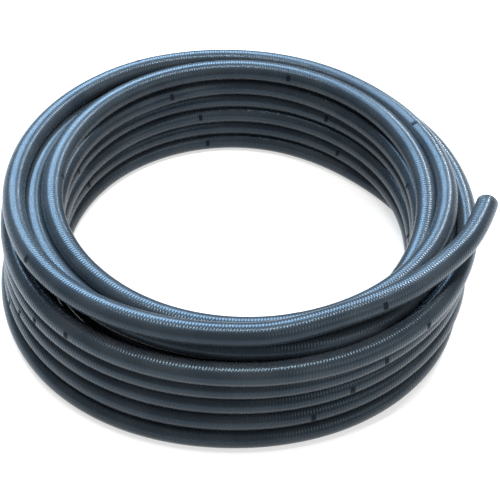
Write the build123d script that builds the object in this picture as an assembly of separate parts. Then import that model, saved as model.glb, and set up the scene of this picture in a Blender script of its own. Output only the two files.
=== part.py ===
"""A coil of smooth, spiral-reinforced waste hose, lying on the floor.

One length of flexible hose is wound into a thick ring: an inner column of turns, an outer column
beside it, and a last turn that lies on top and ends in a free, cut mouth. The stacked turns are one
closed solid of the coil's outer shape. The last turn, the free run and the three layers of the hose
at its mouth are solids of their own. Millimetres, +Z up, floor at Z = 0, origin under the centre of
the whole part's box.
"""

import os
from math import cos, pi, radians, sin, sqrt, tan

from build123d import *

# ---- The hose --------------------------------------------------------------------------------
HOSE_DIAMETER = 32.0  # outside of the smooth wall
HOSE_BORE = 26.0
OUTER_SKIN = 1.1  # soft wall outside the spiral
INNER_SKIN = 0.6  # soft wall between the spiral and the bore
SPIRAL_PITCH = 4.2
SPIRAL_CLEARANCE = 0.05  # each side of the spiral's wire
CORD_CLEARANCE = 0.3  # between the last turn or free run and the stack that it lies on

# ---- The stacked turns, as rings about the coil's own axis -----------------------------------
OUTER_LANE_RADIUS = 331.0  # to the middle of a hose in the outer column
INNER_LANE_RADIUS = 278.0
MIDDLE_LANE_RADIUS = 296.0  # the turn that lies in the valley between the columns
OUTER_TURNS = 5
INNER_TURNS = 6
OUTER_NESTING = 0.8  # that each turn sinks towards the one below, out of a hose's diameter
INNER_NESTING = 1.9
MIDDLE_DROP = 9.5  # middle of the hose in the valley, below the inner column's top hose

# ---- The last turn, a tilted circle on top of the stack --------------------------------------
LAST_TURN_RADIUS = 306.0
LAST_TURN_OFFSET = (-11.2, 6.4)  # of its centre from the coil's axis, X and Y
LAST_TURN_RISE = 21.6  # of its centre above the middle of the hose in the valley
LAST_TURN_TILT = 2.7  # degrees, the front higher than the back
LAST_TURN_START = 72.0  # degrees from +X, turning clockwise as seen from above
LAST_TURN_END = 328.0

# ---- The free run, from its mouth to the last turn -------------------------------------------
# Each point's angle like the last turn's, how far it lies outside that turn's radius, and how
# far above that turn's centre.
FREE_RUN_STATIONS = [
    (5.28, 56.1, 0.6),
    (16.24, 44.8, 5.1),
    (30.04, 21.5, 7.0),
    (46.24, 6.6, 10.2),
]
LEAD_RUN = 76.0  # last straight run before the last turn, along its tangent
ARC_SHARE = 0.45  # of the shorter run, taken by each arc
MOUTH_LENGTH = 40.0  # straight stretch shown layer by layer
MOUTH_RUN_SHARE = 0.9  # of the first run behind the mouth, the most that its arc takes

# ---- Worked out from the above ---------------------------------------------------------------
hose_radius = HOSE_DIAMETER / 2
bore_radius = HOSE_BORE / 2
spiral_outer_radius = hose_radius - OUTER_SKIN
spiral_inner_radius = bore_radius + INNER_SKIN
spiral_wire = spiral_outer_radius - spiral_inner_radius - 2 * SPIRAL_CLEARANCE
spiral_mid_radius = (spiral_outer_radius + spiral_inner_radius) / 2
hose_section = pi * (hose_radius**2 - bore_radius**2)
outer_pitch = HOSE_DIAMETER - OUTER_NESTING
inner_pitch = HOSE_DIAMETER - INNER_NESTING
middle_height = hose_radius + inner_pitch * (INNER_TURNS - 1) - MIDDLE_DROP
last_turn_height = middle_height + LAST_TURN_RISE


def lane_levels(turns, pitch):
    """Heights of the middles of a column's hoses, the lowest one lying on the floor."""
    return [hose_radius + pitch * level for level in range(turns)]


def groove_offset(pitch):
    """How far the V between two stacked hoses stands out from the middle of their lane."""
    return sqrt(max(hose_radius**2 - (pitch / 2) ** 2, 0.0))


def column_side(lane_radius, turns, pitch, side):
    """One side of a column of hoses as arcs, from its foot up to the crown of its top hose.

    side is 1 where the lobes point away from the coil's axis and -1 where they point to it.
    """
    groove = lane_radius + side * groove_offset(pitch)
    belly = lane_radius + side * hose_radius
    levels = lane_levels(turns, pitch)
    arcs = []
    start = (lane_radius, 0.0)
    for height in levels[:-1]:
        end = (groove, height + pitch / 2)
        arcs.append(ThreePointArc(start, (belly, height), end))
        start = end
    arcs.append(ThreePointArc(start, (belly, levels[-1]), (lane_radius, levels[-1] + hose_radius)))
    return arcs


def last_turn_plane():
    """The tilted plane that the last turn's middle line lies in."""
    flat = Plane(origin=(*LAST_TURN_OFFSET, last_turn_height))
    return flat.rotated((-LAST_TURN_TILT, 0, 0))


def last_turn_point(angle):
    """A point of the last turn's middle line, and the direction back along it to the free run."""
    turn = radians(angle)
    plane = last_turn_plane()
    local = Vector(LAST_TURN_RADIUS * cos(turn), -LAST_TURN_RADIUS * sin(turn), 0)
    along = Vector(sin(turn), cos(turn), 0)
    point = plane.from_local_coords(local)
    ahead = plane.from_local_coords(local + along)
    return point, ahead - point


def last_turn_path():
    """The last turn's middle line, a circle's arc from its start to its end."""
    start, _ = last_turn_point(LAST_TURN_START)
    middle, _ = last_turn_point((LAST_TURN_START + LAST_TURN_END) / 2)
    end, _ = last_turn_point(LAST_TURN_END)
    return ThreePointArc(start, middle, end)


def tube(path, outside, inside=0.0):
    """A round tube of two radii along a path, or a solid rod where the inner one is nothing."""
    face = Plane(origin=path @ 0, z_dir=path % 0)
    section = Circle(outside)
    if inside:
        section -= Circle(inside)
    return sweep(face * section, path=path)


def stacked_turns():
    """The closed outer shape of the stacked turns, with a bed for the hose that lies on top."""
    outer = column_side(OUTER_LANE_RADIUS, OUTER_TURNS, outer_pitch, 1)
    inner = column_side(INNER_LANE_RADIUS, INNER_TURNS, inner_pitch, -1)
    outer_crown = outer[-1] @ 1
    inner_crown = inner[-1] @ 1
    middle_crown = (MIDDLE_LANE_RADIUS, middle_height + hose_radius)
    foot = Line((INNER_LANE_RADIUS, 0), (OUTER_LANE_RADIUS, 0))
    top = Polyline(outer_crown, middle_crown, inner_crown)
    outline = make_face(outer + inner + [foot, top])
    ring = revolve(Plane.XZ * outline, Axis.Z)
    bed_radius = hose_radius + CORD_CLEARANCE
    for bed in (tube(last_turn_path(), bed_radius), tube(free_run_path(), bed_radius)):
        ring = ring - bed
    return ring - sleeve(bed_radius, 0.0)


def free_run_point(angle, outward, above):
    """The point of one free run station."""
    turn = radians(angle)
    radius = LAST_TURN_RADIUS + outward
    return Vector(radius * cos(turn), -radius * sin(turn), last_turn_height + above)


def free_route():
    """The free run's points, from the mouth to the last turn that it runs into."""
    junction, back = last_turn_point(LAST_TURN_START)
    points = [free_run_point(*station) for station in FREE_RUN_STATIONS]
    return points + [junction + back * LEAD_RUN, junction]


def arc_radii(points):
    """The radius at each corner of a route: as large as its two runs and the mouth allow."""
    runs = [after - before for before, after in zip(points, points[1:])]
    radii = []
    for arriving, leaving in zip(runs, runs[1:]):
        arc_run = ARC_SHARE * min(arriving.length, leaving.length)
        if not radii:
            arc_run = min(arc_run, MOUTH_RUN_SHARE * (arriving.length - MOUTH_LENGTH))
        half_turn = radians(arriving.get_angle(leaving)) / 2
        radii.append(arc_run / tan(half_turn))
    return radii


def free_run_path():
    """The free run's middle line behind its mouth: straight runs joined by tangent arcs."""
    points = free_route()
    radii = arc_radii(points)
    points[0] = points[0] - mouth_direction() * MOUTH_LENGTH
    return FilletPolyline(*points, radius=radii)


def mouth_direction():
    """The way that the mouth points."""
    tip, behind = free_route()[:2]
    return (tip - behind).normalized()


def mouth_plane():
    """Plane across the hose where its layered mouth starts, facing out of the mouth."""
    tip = free_route()[0]
    return Plane(origin=tip - mouth_direction() * MOUTH_LENGTH, z_dir=mouth_direction())


def sleeve(outside, inside):
    """One layer of the hose over the length of the mouth, or a rod where inside is nothing."""
    ring = Circle(outside)
    if inside:
        ring -= Circle(inside)
    return mouth_plane() * extrude(ring, MOUTH_LENGTH)


def reinforcing_spiral():
    """The rigid wire that keeps the hose round, wound between its two skins."""
    height = MOUTH_LENGTH - spiral_wire
    helix = Helix(SPIRAL_PITCH, height, spiral_mid_radius)
    section = Plane(origin=helix @ 0, z_dir=helix % 0) * Circle(spiral_wire / 2)
    wire = sweep(section, path=helix, is_frenet=True)
    return mouth_plane() * (Pos(0, 0, spiral_wire / 2) * wire)


def main():
    """Build every piece, centre the part on its own box, and write one STEP each."""
    run_path = free_run_path()
    turn_path = last_turn_path()
    print("free run radii", [round(radius) for radius in arc_radii(free_route())])
    parts = {
        "stacked_turns": stacked_turns(),
        "last_turn": tube(turn_path, hose_radius, bore_radius),
        "free_run": tube(run_path, hose_radius, bore_radius),
        "mouth_outer_skin": sleeve(hose_radius, spiral_outer_radius),
        "mouth_reinforcing_spiral": reinforcing_spiral(),
        "mouth_inner_skin": sleeve(spiral_inner_radius, bore_radius),
    }
    for name, path in (("last_turn", turn_path), ("free_run", run_path)):
        print(name, "volume", round(parts[name].volume), "of", round(hose_section * path.length))
    box = Compound(list(parts.values())).bounding_box()
    centre = Pos(-box.center().X, -box.center().Y, 0)
    os.makedirs("parts", exist_ok=True)
    for name, piece in parts.items():
        placed = centre * piece
        placed.label = name
        export_step(placed, f"parts/{name}.step")
    tip = centre * Pos(*free_route()[0])
    print("moved by", centre.position, "mouth at", tip.position, "pointing", mouth_direction())


main()
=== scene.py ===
"""A coil of dark slate-blue, spiral-reinforced waste hose lying on a pale floor.

One length of smooth flexible hose is wound into a thick ring. From its free, cut mouth at the right
it drops onto the top of the ring, runs once round, crosses to the inner rim, goes down the inner
column turn by turn, moves out along the floor, climbs the outer column and ends out of sight in the
bed between the two columns. Metres, +Z up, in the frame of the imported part.
"""

import logging
from dataclasses import dataclass, field
from enum import Enum
from math import ceil, cos, pi, radians, sin
from typing import NamedTuple

import bpy
import numpy as np
from mathutils import Matrix, Vector


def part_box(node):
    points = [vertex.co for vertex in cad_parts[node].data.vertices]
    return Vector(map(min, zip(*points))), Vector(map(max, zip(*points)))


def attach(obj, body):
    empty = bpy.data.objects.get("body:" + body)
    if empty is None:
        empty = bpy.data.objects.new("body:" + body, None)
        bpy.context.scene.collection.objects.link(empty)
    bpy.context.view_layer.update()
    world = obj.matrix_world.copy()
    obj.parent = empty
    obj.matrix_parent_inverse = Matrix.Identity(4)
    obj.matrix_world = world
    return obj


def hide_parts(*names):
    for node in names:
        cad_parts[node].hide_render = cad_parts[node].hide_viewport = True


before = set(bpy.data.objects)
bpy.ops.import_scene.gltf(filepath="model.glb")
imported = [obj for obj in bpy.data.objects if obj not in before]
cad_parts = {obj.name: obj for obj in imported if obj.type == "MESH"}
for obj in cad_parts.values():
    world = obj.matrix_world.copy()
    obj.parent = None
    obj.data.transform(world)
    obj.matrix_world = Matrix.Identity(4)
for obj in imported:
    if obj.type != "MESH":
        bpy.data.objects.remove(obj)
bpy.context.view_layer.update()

log = logging.getLogger("hose_coil")

Colour = tuple[float, float, float]
Point = tuple[float, float, float]
WHITE: Colour = (1.0, 1.0, 1.0)

# The colour sockets of a mixing node, which share their names with its other sockets.
MIX_FIRST = 6
MIX_SECOND = 7
MIX_RESULT = 2


class Slot(str, Enum):
    """The record's material slot names. No piece made here is given one."""

    HOSE_WALL = "hose_wall"


class Station(NamedTuple):
    """One place on the winding: its angle clockwise from the mouth's side, and where it lies.

    Radius and height are in hose diameters, from the winding's axis and from the floor.
    """

    angle: float
    radius: float
    height: float


class PrintSwing(NamedTuple):
    """A stretch of the hose over which its line of print swings round to face another way.

    The stretch starts and ends in metres from the mouth. What it gives before and after it is
    in turns round the hose, and all the swings add up to a place counted from the underside.
    """

    start: float
    end: float
    before: float
    after: float


class Softbox(NamedTuple):
    """One rectangular soft light: its middle, width and height in metres, power in watts."""

    name: str
    place: Point
    size: tuple[float, float]
    power: float
    colour: Colour


@dataclass(frozen=True)
class HoseSize:
    """The sizes of the hose itself, in metres."""

    diameter: float = 0.032
    bore: float = 0.026
    spiral_pitch: float = 0.0042
    bore_depth: float = 0.15
    cut_bevel: float = 0.0006

    @property
    def radius(self) -> float:
        """Outside radius."""
        return self.diameter / 2

    @property
    def bore_radius(self) -> float:
        """Inside radius."""
        return self.bore / 2


# --------------------------------------------------------------------------------------------
# The winding: where the middle of the hose lies, turn by turn
# --------------------------------------------------------------------------------------------


@dataclass
class Winding:
    """The plan of the coil's turns, from where the free run joins it to the hidden end.

    The lap lies on top of the ring. The brim is the inner rim's top turn. The inner column goes
    down level by level, the outer column climbs, and the bed turn fills the valley between them.
    Angles are in degrees, clockwise from the mouth's side. Radii and heights are in diameters of
    the hose.
    """

    lap: tuple[Station, ...] = (
        Station(60, 9.62, 5.98),
        Station(90, 9.24, 6.03),
        Station(110, 9.38, 5.97),
        Station(130, 9.62, 5.87),
        Station(150, 9.80, 5.73),
        Station(180, 9.88, 5.55),
        Station(205, 9.93, 5.42),
        Station(225, 9.88, 5.30),
        Station(250, 9.78, 5.20),
        Station(270, 9.70, 5.15),
        Station(300, 9.66, 5.15),
        Station(315, 9.68, 5.17),
        Station(341, 9.88, 5.20),
    )
    brim: tuple[Station, ...] = (
        Station(0, 9.88, 5.22),
        Station(30, 9.35, 5.20),
        Station(60, 8.70, 5.15),
        Station(90, 8.25, 5.15),
        Station(135, 8.04, 5.18),
        Station(180, 8.26, 5.20),
        Station(225, 8.60, 5.20),
        Station(270, 8.76, 5.25),
        Station(300, 8.76, 5.32),
        Station(320, 8.78, 5.35),
        Station(340, 8.90, 5.20),
        Station(360, 9.00, 4.95),
    )
    # The inner column's radius round the ring, its top level's. Each level down is wider by the
    # flare, most at the flare's middle angle and less to each side, and every other level is
    # staggered.
    inner_round: tuple[tuple[float, float], ...] = (
        (35, 8.80),
        (60, 8.78),
        (90, 8.75),
        (135, 8.45),
        (180, 8.18),
        (225, 8.62),
        (270, 8.87),
        (315, 8.90),
        (340, 8.90),
    )
    inner_levels: int = 5
    inner_pitch: float = 0.94  # from one level up to the next
    inner_stagger: float = 0.05  # in or out, by turns
    inner_flare: float = 0.10  # wider for each level down
    flare_middle: float = 180.0
    flare_reach: float = 110.0  # to each side of the middle
    inner_foot_leaves: float = 320.0  # where the lowest level moves out along the floor
    # The outer column at each angle: radius and height of its levels, the lowest first.
    outer_round: tuple[tuple[float, tuple[tuple[float, float], ...]], ...] = (
        (20, ((10.75, 0.5), (10.80, 1.48), (10.70, 2.45), (10.75, 3.43), (10.90, 4.40))),
        (45, ((10.75, 0.5), (10.55, 1.50), (10.45, 2.48), (10.45, 3.46), (10.60, 4.43))),
        (90, ((10.30, 0.5), (10.10, 1.52), (9.97, 2.53), (9.95, 3.53), (10.08, 4.55))),
        (135, ((10.75, 0.5), (10.48, 1.46), (10.33, 2.42), (10.25, 3.38), (10.20, 4.33))),
        (180, ((10.60, 0.5), (10.35, 1.42), (10.25, 2.35), (10.15, 3.28), (10.10, 4.20))),
        (225, ((10.30, 0.5), (10.15, 1.42), (10.10, 2.35), (10.10, 3.20), (10.35, 4.00))),
        (270, ((9.95, 0.5), (9.95, 1.43), (9.90, 2.36), (9.95, 3.25), (9.90, 4.15))),
        (300, ((10.10, 0.7), (10.15, 1.65), (10.15, 2.60), (10.40, 3.75), (9.72, 4.20))),
        (323, ((10.25, 0.95), (10.25, 1.95), (10.28, 2.95), (10.38, 4.30), (9.65, 4.20))),
        (345, ((10.55, 1.25), (10.50, 2.25), (10.55, 3.25), (10.65, 4.38), (9.70, 4.22))),
    )
    bed: tuple[Station, ...] = (
        Station(0, 9.80, 4.25),
        Station(30, 9.85, 4.40),
        Station(45, 9.85, 4.62),
        Station(60, 9.55, 4.92),
        Station(90, 9.20, 5.07),
        Station(135, 9.02, 5.04),
        Station(160, 9.02, 4.96),
        Station(180, 9.12, 4.90),
        Station(210, 9.28, 4.70),
        Station(240, 9.50, 4.40),
    )
    turns_on_top: int = 2  # the lap and the brim
    floor_height: float = 0.5  # of the middle of a hose that lies on the floor
    step: int = 5  # degrees
    smoothing: int = 9  # steps
    squash: float = 0.945  # the least distance between the middles of two turns
    settling_rounds: int = 150
    stays_put: float = 0.01  # of the way back to its plan, in each round
    no_gap: float = 1e-9  # in place of the nought between a turn and itself
    points_every: int = 3  # steps

    def stations(self) -> np.ndarray:
        """Every station in the order that the hose passes them, its angle running on.

        Returns:
            Rows of running angle in degrees, radius and height in diameters.
        """
        rows = [tuple(s) for s in self.lap]
        rows += [(s.angle + 360, s.radius, s.height) for s in self.brim]
        for turn in range(self.inner_levels):
            level = self.inner_levels - 1 - turn
            side = self.inner_stagger if level % 2 else -self.inner_stagger
            for angle, radius in self.inner_round:
                if level > 0 or angle < self.inner_foot_leaves:
                    near = max(0.0, 1.0 - abs(angle - self.flare_middle) / self.flare_reach)
                    radius += side + self.inner_flare * turn * near
                    height = self.floor_height + self.inner_pitch * level
                    rows.append((angle + 360 * (self.turns_on_top + turn), radius, height))
        first_outer = self.turns_on_top + self.inner_levels
        levels = len(self.outer_round[0][1])
        for level in range(levels):
            for angle, column in self.outer_round:
                radius, height = column[level]
                rows.append((angle + 360 * (first_outer + level), radius, height))
        rows += [(s.angle + 360 * (first_outer + levels), s.radius, s.height) for s in self.bed]
        return np.array(rows)

    def soften(self, values: np.ndarray) -> np.ndarray:
        """Smooth each column of values with a raised-cosine window, its ends held.

        Args:
            values: One row for each step along the hose.

        Returns:
            The smoothed rows, as many as came in.
        """
        window = np.hanning(self.smoothing + 2)[1:-1]
        window /= window.sum()
        edge = self.smoothing // 2
        padded = np.pad(values, ((edge, edge), (0, 0)), mode="edge")
        return np.stack([np.convolve(c, window, "valid") for c in padded.T], axis=-1)

    def settle(self, line: np.ndarray, first: int) -> np.ndarray:
        """Let the turns push each other apart until they only touch, as real turns do.

        At each angle, every two turns nearer than a slightly squashed diameter move apart along
        the line between them, half of what is missing each. The moves are smoothed along the
        hose, a faint pull draws each turn back to its planned place, and none sinks into the
        floor.

        Args:
            line: Radius and height at each step, in diameters.
            first: Which step of its turn the first row is.

        Returns:
            The settled rows.
        """
        planned = line
        count = len(line)
        steps = 360 // self.step
        turns = ceil((first + count) / steps)
        for _ in range(self.settling_rounds):
            grid = np.full((turns * steps, 2), np.nan)
            grid[first : first + count] = line
            grid = grid.reshape(turns, steps, 2)
            away = grid[:, None] - grid[None]
            gap = np.linalg.norm(away, axis=-1)
            missing = np.where((gap < self.squash) & (gap > 0), self.squash - gap, 0.0)
            unit = np.nan_to_num(away / np.maximum(gap, self.no_gap)[..., None])
            push = (unit * missing[..., None]).sum(axis=1) / 2
            push = push.reshape(-1, 2)[first : first + count]
            line = line + self.soften(push) + self.stays_put * (planned - line)
            line[:, 1] = np.maximum(line[:, 1], self.floor_height)
        return line

    def points(self) -> np.ndarray:
        """The coil's control points, 24 to a turn.

        A quadratic spline passes inside the circle of its control points by the cosine of half
        the angle between them, so each radius is divided by that cosine.

        Returns:
            Points in hose diameters, from the winding's axis and the floor.
        """
        stations = self.stations()
        angles = np.arange(stations[0, 0], stations[-1, 0] + 1, self.step)
        line = np.stack([np.interp(angles, stations[:, 0], c) for c in stations[:, 1:].T], -1)
        line = self.settle(self.soften(line), int(stations[0, 0] // self.step))
        picked = slice(self.points_every, None, self.points_every)
        turn = np.radians(angles[picked])
        radius = line[picked, 0] / cos(radians(self.step * self.points_every / 2))
        return np.stack([radius * np.cos(turn), -radius * np.sin(turn), line[picked, 1]], -1)


@dataclass
class HoseRoute:
    """The hose's middle line: the free run's points, then the coil's, as one smooth spline."""

    size: HoseSize
    winding: Winding
    free_run: tuple[Point, ...] = (
        (0.346269, -0.033322, 0.1792),
        (0.322508, -0.098105, 0.1837),
        (0.269214, -0.163948, 0.1856),
        (0.201912, -0.225773, 0.1888),
    )
    axis_offset: float = -0.0064  # metres along X
    resolution: int = 13  # points read from each stretch of the spline

    def axis(self) -> Vector:
        """The winding's axis on the floor, a little to the left of the stack's own middle."""
        low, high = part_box("stacked_turns")
        middle = (Vector(low) + Vector(high)) / 2
        return Vector((middle.x + self.axis_offset, middle.y, 0.0))

    def control_points(self) -> np.ndarray:
        """The route's points, in metres."""
        coil = self.winding.points() * self.size.diameter + np.array(self.axis())
        return np.vstack([np.array(self.free_run), coil])

    def line(self) -> np.ndarray:
        """Points read from the route's spline, close together, from the mouth to the end."""
        points = self.control_points()
        curve = bpy.data.curves.new("hose_route", "CURVE")
        curve.dimensions = "3D"
        curve.resolution_u = self.resolution
        spline = curve.splines.new("NURBS")
        spline.points.add(len(points) - 1)
        spline.points.foreach_set("co", np.c_[points, np.ones(len(points))].ravel())
        spline.order_u = 3
        spline.use_endpoint_u = True
        holder = bpy.data.objects.new("hose_route", curve)
        bpy.context.scene.collection.objects.link(holder)
        bpy.context.view_layer.update()
        mesh = bpy.data.meshes.new_from_object(holder)
        read = np.empty(len(mesh.vertices) * 3)
        mesh.vertices.foreach_get("co", read)
        bpy.data.objects.remove(holder)
        bpy.data.curves.remove(curve)
        bpy.data.meshes.remove(mesh)
        return read.reshape(-1, 3)


# --------------------------------------------------------------------------------------------
# Meshes
# --------------------------------------------------------------------------------------------


def lengths_along(line: np.ndarray) -> np.ndarray:
    """Distance from the first point to each point, along the line."""
    return np.concatenate([[0.0], np.cumsum(np.linalg.norm(np.diff(line, axis=0), axis=1))])


@dataclass
class HoseTube:
    """The hose as one closed skin: its outside, both cut faces, and the bore at each end."""

    size: HoseSize
    sides: int = 24
    mouth_rings: int = 14
    cut_margin: float = 3.0  # bevels that the outside's first ring stays behind the cut

    def sections(self, total: float) -> tuple[np.ndarray, np.ndarray]:
        """The rings that the skin is carried over, in order round the wall's own section.

        Each ring is a place along the hose and a radius: down the bore from its closed end to
        the mouth, over the rounded edges of the cut, along the outside to the other end, and
        back into the bore there.

        Args:
            total: The hose's length.

        Returns:
            Rows of distance from the mouth and radius: first the rings at the mouth, then those
            at the other end.
        """
        outer, inner, bevel = self.size.radius, self.size.bore_radius, self.size.cut_bevel
        deep = np.linspace(self.size.bore_depth, bevel, self.mouth_rings)
        mouth = [(d, inner) for d in deep]
        mouth += [(0.0, inner + bevel), (0.0, outer - bevel), (bevel, outer)]
        return np.array(mouth), np.array([(total - d, r) for d, r in reversed(mouth)])

    def build(self, name: str, line: np.ndarray) -> bpy.types.Object:
        """Carry a round section along the line.

        Each ring lies across the line, in a frame whose side is level, so that the section
        never twists. A ring's point is the line's point plus the side times the cosine and the
        upward direction times the sine of its angle, times the ring's radius. The map runs
        once round the hose, from its underside, and along it in metres.

        Args:
            name: The piece's name.
            line: Points of the middle line.

        Returns:
            The new object, at the origin.
        """
        along = lengths_along(line)
        total = float(along[-1])
        mouth, end = self.sections(total)
        margin = self.cut_margin * self.size.cut_bevel
        middle = along[(along > margin) & (along < total - margin)]
        places = np.concatenate([mouth[:, 0], middle, end[:, 0]])
        rings = np.concatenate([mouth[:, 1], np.full(len(middle), self.size.radius), end[:, 1]])
        centre = np.stack([np.interp(places, along, c) for c in line.T], -1)
        slope = np.gradient(line, along, axis=0)
        ahead = np.stack([np.interp(places, along, c) for c in slope.T], -1)
        ahead /= np.linalg.norm(ahead, axis=1, keepdims=True)
        side = np.cross(ahead, (0.0, 0.0, 1.0))
        side /= np.linalg.norm(side, axis=1, keepdims=True)
        upward = np.cross(side, ahead)
        turn = np.arange(self.sides) / self.sides * 2 * pi - pi / 2
        spread = (
            side[:, None] * np.cos(turn)[None, :, None]
            + upward[:, None] * np.sin(turn)[None, :, None]
        )
        points = (centre[:, None] + spread * rings[:, None, None]).reshape(-1, 3)
        return self.skin(name, points, places)

    def skin(self, name: str, points: np.ndarray, places: np.ndarray) -> bpy.types.Object:
        """Join the rings with quads, close both ends of the bore, and map the surface.

        Args:
            name: The piece's name.
            points: The rings' points, one ring after another.
            places: How far along the hose each ring is.

        Returns:
            The new object.
        """
        count, sides = len(places), self.sides
        ring = np.arange(count - 1)[:, None] * sides
        here = np.arange(sides)[None]
        after = (here + 1) % sides
        quads = np.stack(
            [ring + here, ring + after, ring + sides + after, ring + sides + here], -1
        ).reshape(-1, 4)
        caps = [list(range(sides - 1, -1, -1)), list(range((count - 1) * sides, count * sides))]
        mesh = bpy.data.meshes.new(name)
        mesh.from_pydata(points.tolist(), [], quads.tolist() + caps)
        u_near = np.broadcast_to(places[:-1, None], (count - 1, sides))
        u_far = np.broadcast_to(places[1:, None], (count - 1, sides))
        v_here = np.broadcast_to(here / sides, (count - 1, sides))
        v_next = v_here + 1 / sides
        corners = np.stack(
            [
                np.stack([u_near, v_here], -1),
                np.stack([u_near, v_next], -1),
                np.stack([u_far, v_next], -1),
                np.stack([u_far, v_here], -1),
            ],
            axis=2,
        ).reshape(-1, 2)
        rim = [(places[0], i / sides) for i in caps[0]]
        rim += [(places[-1], i / sides) for i in range(sides)]
        layer = mesh.uv_layers.new(name="hose_map")
        layer.data.foreach_set("uv", np.vstack([corners, np.array(rim)]).ravel())
        mesh.polygons.foreach_set("use_smooth", np.ones(len(mesh.polygons), bool))
        mesh.update()
        return place_piece(name, mesh)


def place_piece(name: str, mesh: bpy.types.Mesh) -> bpy.types.Object:
    """Make an object of a mesh and put it in the scene.

    Args:
        name: The piece's name.
        mesh: Its mesh, already in the part's frame.

    Returns:
        The object, at the origin.
    """
    piece = bpy.data.objects.new(name, mesh)
    bpy.context.scene.collection.objects.link(piece)
    return piece


# --------------------------------------------------------------------------------------------
# Finishes
# --------------------------------------------------------------------------------------------


class NodeBench:
    """A short way to place and join shader nodes."""

    def __init__(self, tree: bpy.types.NodeTree) -> None:
        """Work on one node tree."""
        self.tree = tree

    def add(self, kind: str, inputs: dict | None = None, **settings: object) -> bpy.types.Node:
        """Place a node.

        Args:
            kind: Its type name.
            inputs: A value, or another node's output, for each named or numbered input.
            settings: Its own properties.

        Returns:
            The node.
        """
        node = self.tree.nodes.new(kind)
        for key, value in settings.items():
            setattr(node, key, value)
        for key, value in (inputs or {}).items():
            socket = node.inputs[key]
            if isinstance(value, bpy.types.NodeSocket):
                self.tree.links.new(value, socket)
            else:
                socket.default_value = value
        return node

    def maths(self, operation: str, *values: object) -> bpy.types.NodeSocket:
        """One step of arithmetic.

        Args:
            operation: The Math node's operation.
            values: Numbers or sockets.

        Returns:
            The result's socket.
        """
        node = self.add("ShaderNodeMath", dict(enumerate(values)), operation=operation)
        return node.outputs[0]

    def ramp(
        self, value: object, low: float, high: float, start: float = 0.0, end: float = 1.0
    ) -> bpy.types.NodeSocket:
        """Map a value from one range onto another, smoothly and without going beyond it.

        Args:
            value: A socket.
            low: Where the result is start.
            high: Where the result is end.
            start: The result at low.
            end: The result at high.

        Returns:
            The result's socket.
        """
        inputs = {
            "Value": value,
            "From Min": low,
            "From Max": high,
            "To Min": start,
            "To Max": end,
        }
        node = self.add("ShaderNodeMapRange", inputs, interpolation_type="SMOOTHSTEP")
        return node.outputs["Result"]

    def blend(self, share: object, first: object, second: object) -> bpy.types.NodeSocket:
        """Mix two colours.

        Args:
            share: How much of the mix is the second colour, a socket.
            first: A colour with its alpha, or a socket.
            second: A colour with its alpha, or a socket.

        Returns:
            The mixed colour's socket.
        """
        inputs = {"Factor": share, MIX_FIRST: first, MIX_SECOND: second}
        return self.add("ShaderNodeMix", inputs, data_type="RGBA").outputs[MIX_RESULT]

    def noise(self, place: object, scale: float, detail: float) -> bpy.types.NodeSocket:
        """Smooth noise over the piece's own space.

        Args:
            place: The socket of the place in that space.
            scale: How fine the noise is, in spots a metre.
            detail: How many finer layers it has.

        Returns:
            The noise's socket, from 0 to 1.
        """
        inputs = {"Vector": place, "Scale": scale, "Detail": detail}
        return self.add("ShaderNodeTexNoise", inputs).outputs["Fac"]


def new_material(name: str) -> tuple[bpy.types.Material, NodeBench, bpy.types.Node]:
    """An empty material with its Principled shader.

    Args:
        name: The material's name.

    Returns:
        The material, a bench on its tree, and the shader.
    """
    material = bpy.data.materials.new(name)
    material.use_nodes = True
    tree = material.node_tree
    tree.nodes.clear()
    bench = NodeBench(tree)
    output = bench.add("ShaderNodeOutputMaterial")
    shader = bench.add("ShaderNodeBsdfPrincipled")
    tree.links.new(shader.outputs["BSDF"], output.inputs["Surface"])
    return material, bench, shader


def rib_group(size: HoseSize, sharpness: float) -> bpy.types.NodeTree:
    """The faint ridge that the reinforcing spiral raises in the soft wall, as a node group.

    The height is the cosine of one turn for each pitch along the hose less one for each time
    round it, so the ridge is a helix. It is sharpened by a power so that it is narrower than
    the space between its turns.

    Args:
        size: The hose's sizes.
        sharpness: The power.

    Returns:
        A group with inputs Along, Around and Sharpness, and the output Ridge.
    """
    tree = bpy.data.node_groups.new("spiral_ridge", "ShaderNodeTree")
    for name in ("Along", "Around"):
        tree.interface.new_socket(name, in_out="INPUT", socket_type="NodeSocketFloat")
    sharp = tree.interface.new_socket("Sharpness", in_out="INPUT", socket_type="NodeSocketFloat")
    sharp.default_value = sharpness
    tree.interface.new_socket("Ridge", in_out="OUTPUT", socket_type="NodeSocketFloat")
    bench = NodeBench(tree)
    given = bench.add("NodeGroupInput")
    turns = bench.maths("DIVIDE", given.outputs["Along"], size.spiral_pitch)
    phase = bench.maths("SUBTRACT", turns, given.outputs["Around"])
    wave = bench.maths("COSINE", bench.maths("MULTIPLY", phase, 2 * pi))
    lifted = bench.maths("MULTIPLY_ADD", wave, 0.5, 0.5)
    ridge = bench.maths("POWER", lifted, given.outputs["Sharpness"])
    result = bench.add("NodeGroupOutput")
    tree.links.new(ridge, result.inputs["Ridge"])
    return tree


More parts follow.
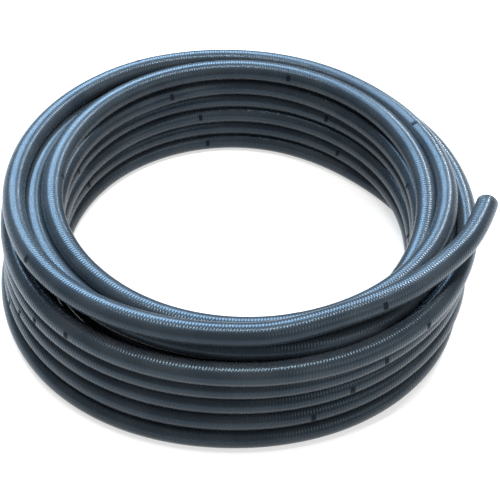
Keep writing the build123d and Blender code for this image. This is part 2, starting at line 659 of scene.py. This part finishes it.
@dataclass(frozen=True)
class HosePlastic:
    """Smooth semi-gloss soft PVC, dark slate blue, over its spiral, with printed length ticks."""

    deep: Colour = (0.018, 0.024, 0.031)
    worn: Colour = (0.028, 0.035, 0.042)
    ink: Colour = (0.001, 0.001, 0.002)
    roughness: float = 0.27
    roughness_spread: float = 0.10
    ink_dulls: float = 0.5
    cloud_scale: float = 14.0
    cloud_detail: float = 3.0
    cloud_edges: tuple[float, float] = (0.35, 0.65)
    grain_scale: float = 420.0
    grain_detail: float = 2.0
    grain_height: float = 0.00001
    ridge_height: float = 0.00022
    ridge_sharpness: float = 1.5
    refraction: float = 1.5
    shine: float = 0.32
    shine_tint: Colour = (0.55, 0.78, 1.0)
    tick_every: float = 0.5117  # metres
    tick_start: float = 0.27  # metres from the mouth
    tick_tightening: float = 0.00046  # for each metre along the hose
    tick_width: float = 0.007  # metres
    tick_reach: float = 0.055  # turns round the hose, to each side of the line of print
    tick_side_blur: float = 0.2  # of half the width
    tick_end_blur: float = 0.1  # of the reach
    print_turns_in: PrintSwing = PrintSwing(0.3, 3.0, 0.68, 0.30)
    print_turns_out: PrintSwing = PrintSwing(12.6, 14.6, 0.0, 0.42)

    def build(self, size: HoseSize) -> bpy.types.Material:
        """The finish as a material that reads the hose's own map.

        Args:
            size: The hose's sizes.

        Returns:
            The material.
        """
        material, bench, shader = new_material("hose_plastic")
        chart = bench.add("ShaderNodeUVMap", uv_map="hose_map")
        split = bench.add("ShaderNodeSeparateXYZ", {0: chart.outputs["UV"]})
        along, around = split.outputs[0], split.outputs[1]
        ridge = bench.add("ShaderNodeGroup", node_tree=rib_group(size, self.ridge_sharpness))
        bench.tree.links.new(along, ridge.inputs["Along"])
        bench.tree.links.new(around, ridge.inputs["Around"])
        place = bench.add("ShaderNodeTexCoord").outputs["Object"]
        cloud = bench.noise(place, self.cloud_scale, self.cloud_detail)
        fine = bench.noise(place, self.grain_scale, self.grain_detail)
        patchy = bench.ramp(cloud, *self.cloud_edges)
        colour = bench.blend(patchy, (*self.deep, 1.0), (*self.worn, 1.0))
        tick = self.tick_mask(bench, along, around)
        inked = bench.blend(tick, colour, (*self.ink, 1.0))
        bench.tree.links.new(inked, shader.inputs["Base Color"])
        smoothest = self.roughness - self.roughness_spread / 2
        dull = bench.maths("MULTIPLY_ADD", fine, self.roughness_spread, smoothest)
        matt = bench.maths("MULTIPLY_ADD", tick, self.ink_dulls, dull)
        bench.tree.links.new(matt, shader.inputs["Roughness"])
        relief = bench.maths("MULTIPLY", ridge.outputs["Ridge"], self.ridge_height)
        grain = bench.maths("MULTIPLY_ADD", fine, self.grain_height, relief)
        bump = bench.add("ShaderNodeBump", {"Height": grain, "Distance": 1.0, "Strength": 1.0})
        bench.tree.links.new(bump.outputs["Normal"], shader.inputs["Normal"])
        shader.inputs["IOR"].default_value = self.refraction
        shader.inputs["Specular IOR Level"].default_value = self.shine
        shader.inputs["Specular Tint"].default_value = (*self.shine_tint, 1.0)
        return material

    def tick_mask(
        self, bench: NodeBench, along: bpy.types.NodeSocket, around: bpy.types.NodeSocket
    ) -> bpy.types.NodeSocket:
        """Where the printed length ticks are: short bars across the hose.

        They are all but evenly spaced, a little closer together towards the hidden end: the
        count of ticks passed is the distance from the first one over the spacing, times one and
        the tightening for each metre along. The line of print faces up and outward where the
        hose leaves its mouth, inward in the inner column, and outward again in the outer one,
        because the hose twists as it is wound.

        Args:
            bench: The material's bench.
            along: Metres along the hose, a socket.
            around: Turns round it from its underside, a socket.

        Returns:
            A mask, 1 on a tick.
        """
        passed = bench.maths("SUBTRACT", along, self.tick_start)
        tighter = bench.maths("MULTIPLY_ADD", along, self.tick_tightening, 1.0)
        even = bench.maths("DIVIDE", passed, self.tick_every)
        turns = bench.maths("MULTIPLY", even, tighter)
        nearest = bench.maths("ROUND", turns)
        off = bench.maths("ABSOLUTE", bench.maths("SUBTRACT", turns, nearest))
        half = self.tick_width / 2 / self.tick_every
        blur = half * self.tick_side_blur
        across = bench.ramp(off, half - blur, half + blur, 1.0, 0.0)
        inward = bench.ramp(along, *self.print_turns_in)
        outward = bench.ramp(along, *self.print_turns_out)
        facing = bench.maths("ADD", inward, outward)
        beside = bench.maths("ABSOLUTE", bench.maths("SUBTRACT", around, facing))
        blur = self.tick_reach * self.tick_end_blur
        reach = bench.ramp(beside, self.tick_reach - blur, self.tick_reach + blur, 1.0, 0.0)
        return bench.maths("MULTIPLY", across, reach)


@dataclass(frozen=True)
class SpiralPlastic:
    """Rigid dark grey PVC, the spiral's wire inside the wall."""

    colour: Colour = (0.06, 0.07, 0.085)
    lighter: float = 1.35  # times the colour, where the grain is light
    grain_scale: float = 900.0
    grain_detail: float = 2.0
    grain_edges: tuple[float, float] = (0.3, 0.7)
    smoothest: float = 0.30
    roughest: float = 0.43

    def build(self) -> bpy.types.Material:
        """The finish as a material."""
        material, bench, shader = new_material("spiral_plastic")
        place = bench.add("ShaderNodeTexCoord").outputs["Object"]
        grain = bench.noise(place, self.grain_scale, self.grain_detail)
        light = tuple(c * self.lighter for c in self.colour)
        colour = bench.blend(grain, (*self.colour, 1.0), (*light, 1.0))
        bench.tree.links.new(colour, shader.inputs["Base Color"])
        rough = bench.ramp(grain, *self.grain_edges, self.smoothest, self.roughest)
        bench.tree.links.new(rough, shader.inputs["Roughness"])
        return material


# --------------------------------------------------------------------------------------------
# The hose, the floor, the lights and the camera
# --------------------------------------------------------------------------------------------


@dataclass
class CoiledHose:
    """The whole hose: its skin along the route, and the spiral's wire inside its mouth."""

    size: HoseSize = field(default_factory=HoseSize)
    winding: Winding = field(default_factory=Winding)
    plastic: HosePlastic = field(default_factory=HosePlastic)
    wire: SpiralPlastic = field(default_factory=SpiralPlastic)

    def build(self) -> None:
        """Make the hose, dress it, hide the imported parts that it takes the place of, and log its
        length.
        """
        route = HoseRoute(self.size, self.winding)
        line = route.line()
        hose = HoseTube(self.size).build("coiled_hose", line)
        hose.data.materials.append(self.plastic.build(self.size))
        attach(hose, "root")
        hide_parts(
            "stacked_turns", "last_turn", "free_run", "mouth_outer_skin", "mouth_inner_skin"
        )
        length = float(lengths_along(line)[-1])
        log.info("coiled_hose: %d rings' line, %.2f m long", len(line), length)
        dress_node(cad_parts["mouth_reinforcing_spiral"], self.wire.build())
        log.info("mouth_reinforcing_spiral: keeps its packed shape")


def dress_node(node: bpy.types.Object, material: bpy.types.Material) -> None:
    """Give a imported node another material.

    Args:
        node: The node's object.
        material: The finish.
    """
    for slot in node.material_slots:
        slot.material = material


@dataclass
class Studio:
    """A plain pale floor, even room light, and softboxes, the strongest behind at the left."""

    floor_colour: Colour = (0.45, 0.45, 0.45)
    floor_roughness: float = 0.9
    floor_shine: float = 0.1
    floor_glow: float = 0.62
    floor_reach: float = 30.0
    room_strength: float = 0.30
    aim: Point = (0.0, 0.0, 0.1)
    softboxes: tuple[Softbox, ...] = (
        Softbox("sky_panel", (-0.9, 2.3, 2.3), (2.2, 1.4), 285.0, (0.55, 0.78, 1.0)),
        Softbox("back_panel", (1.3, 2.3, 2.0), (1.4, 0.9), 60.0, (0.62, 0.82, 1.0)),
        Softbox("high_strip", (0.1, -0.15, 2.6), (1.6, 0.07), 75.0, (1.0, 0.98, 0.96)),
        Softbox("lamp_right", (1.3, 1.9, 1.6), (0.15, 0.15), 40.0, WHITE),
        Softbox("right_fill", (2.4, -1.8, 1.8), (1.5, 1.5), 22.0, (1.0, 0.96, 0.92)),
    )

    def floor(self) -> None:
        """The floor, a wide plain sheet under the coil."""
        reach = self.floor_reach
        corners = [(-reach, -reach, 0), (reach, -reach, 0), (reach, reach, 0), (-reach, reach, 0)]
        mesh = bpy.data.meshes.new("floor")
        mesh.from_pydata(corners, [], [(0, 1, 2, 3)])
        material, _, shader = new_material("pale_floor")
        shader.inputs["Base Color"].default_value = (*self.floor_colour, 1.0)
        shader.inputs["Roughness"].default_value = self.floor_roughness
        shader.inputs["Specular IOR Level"].default_value = self.floor_shine
        shader.inputs["Emission Color"].default_value = (*WHITE, 1.0)
        shader.inputs["Emission Strength"].default_value = self.floor_glow
        mesh.materials.append(material)
        place_piece("floor", mesh)

    def hang(self, box: Softbox) -> None:
        """Put up one softbox, facing the middle of the coil.

        Args:
            box: The softbox.
        """
        lamp = bpy.data.lights.new(box.name, "AREA")
        lamp.shape = "RECTANGLE"
        lamp.size, lamp.size_y = box.size
        lamp.energy = box.power
        lamp.color = box.colour
        holder = bpy.data.objects.new(box.name, lamp)
        bpy.context.scene.collection.objects.link(holder)
        holder.location = box.place
        facing = Vector(self.aim) - Vector(box.place)
        holder.rotation_euler = facing.to_track_quat("-Z", "Y").to_euler()

    def build(self) -> None:
        """Floor, room light and softboxes."""
        self.floor()
        world = bpy.data.worlds.new("room")
        world.use_nodes = True
        sky = world.node_tree.nodes["Background"]
        sky.inputs["Color"].default_value = (*WHITE, 1.0)
        sky.inputs["Strength"].default_value = self.room_strength
        scene = bpy.context.scene
        scene.world = world
        scene.view_settings.view_transform = "Standard"
        for box in self.softboxes:
            self.hang(box)
        log.info("floor, room light and %d softboxes", len(self.softboxes))


@dataclass
class ViewingCamera:
    """The camera, set in hose diameters from the winding's axis on the floor."""

    place: Point = (0.8617, -36.4828, 39.4982)
    elevation: float = 46.5  # degrees
    roll: float = 0.025  # radians
    lens: float = 78.548  # millimetres
    sensor: float = 36.0  # millimetres
    sees_to: float = 100.0  # metres

    def build(self, axis: Vector, diameter: float) -> None:
        """Make the camera and set it as the scene's.

        Args:
            axis: The winding's axis on the floor.
            diameter: The hose's diameter.
        """
        lift = radians(self.elevation)
        back = Vector((0.0, -cos(lift), sin(lift)))
        level = Vector((1.0, 0.0, 0.0))
        upright = level.cross(-back)
        right = level * cos(self.roll) + upright * sin(self.roll)
        up = upright * cos(self.roll) - level * sin(self.roll)
        data = bpy.data.cameras.new("viewing_camera")
        data.lens = self.lens
        data.sensor_width = self.sensor
        data.clip_end = self.sees_to
        camera = bpy.data.objects.new("viewing_camera", data)
        bpy.context.scene.collection.objects.link(camera)
        turned = Matrix((right, up, back)).transposed().to_4x4()
        camera.matrix_world = Matrix.Translation(axis + Vector(self.place) * diameter) @ turned
        bpy.context.scene.camera = camera
        log.info("viewing_camera: %.1f mm lens, %.1f degrees up", self.lens, self.elevation)


def main() -> None:
    """Build the camera, the hose and the studio in order."""
    logging.basicConfig(level=logging.INFO, format="%(name)s: %(message)s")
    hose = CoiledHose()
    axis = HoseRoute(hose.size, hose.winding).axis()
    ViewingCamera().build(axis, hose.size.diameter)
    hose.build()
    Studio().build()


if __name__ == "__main__":
    main()
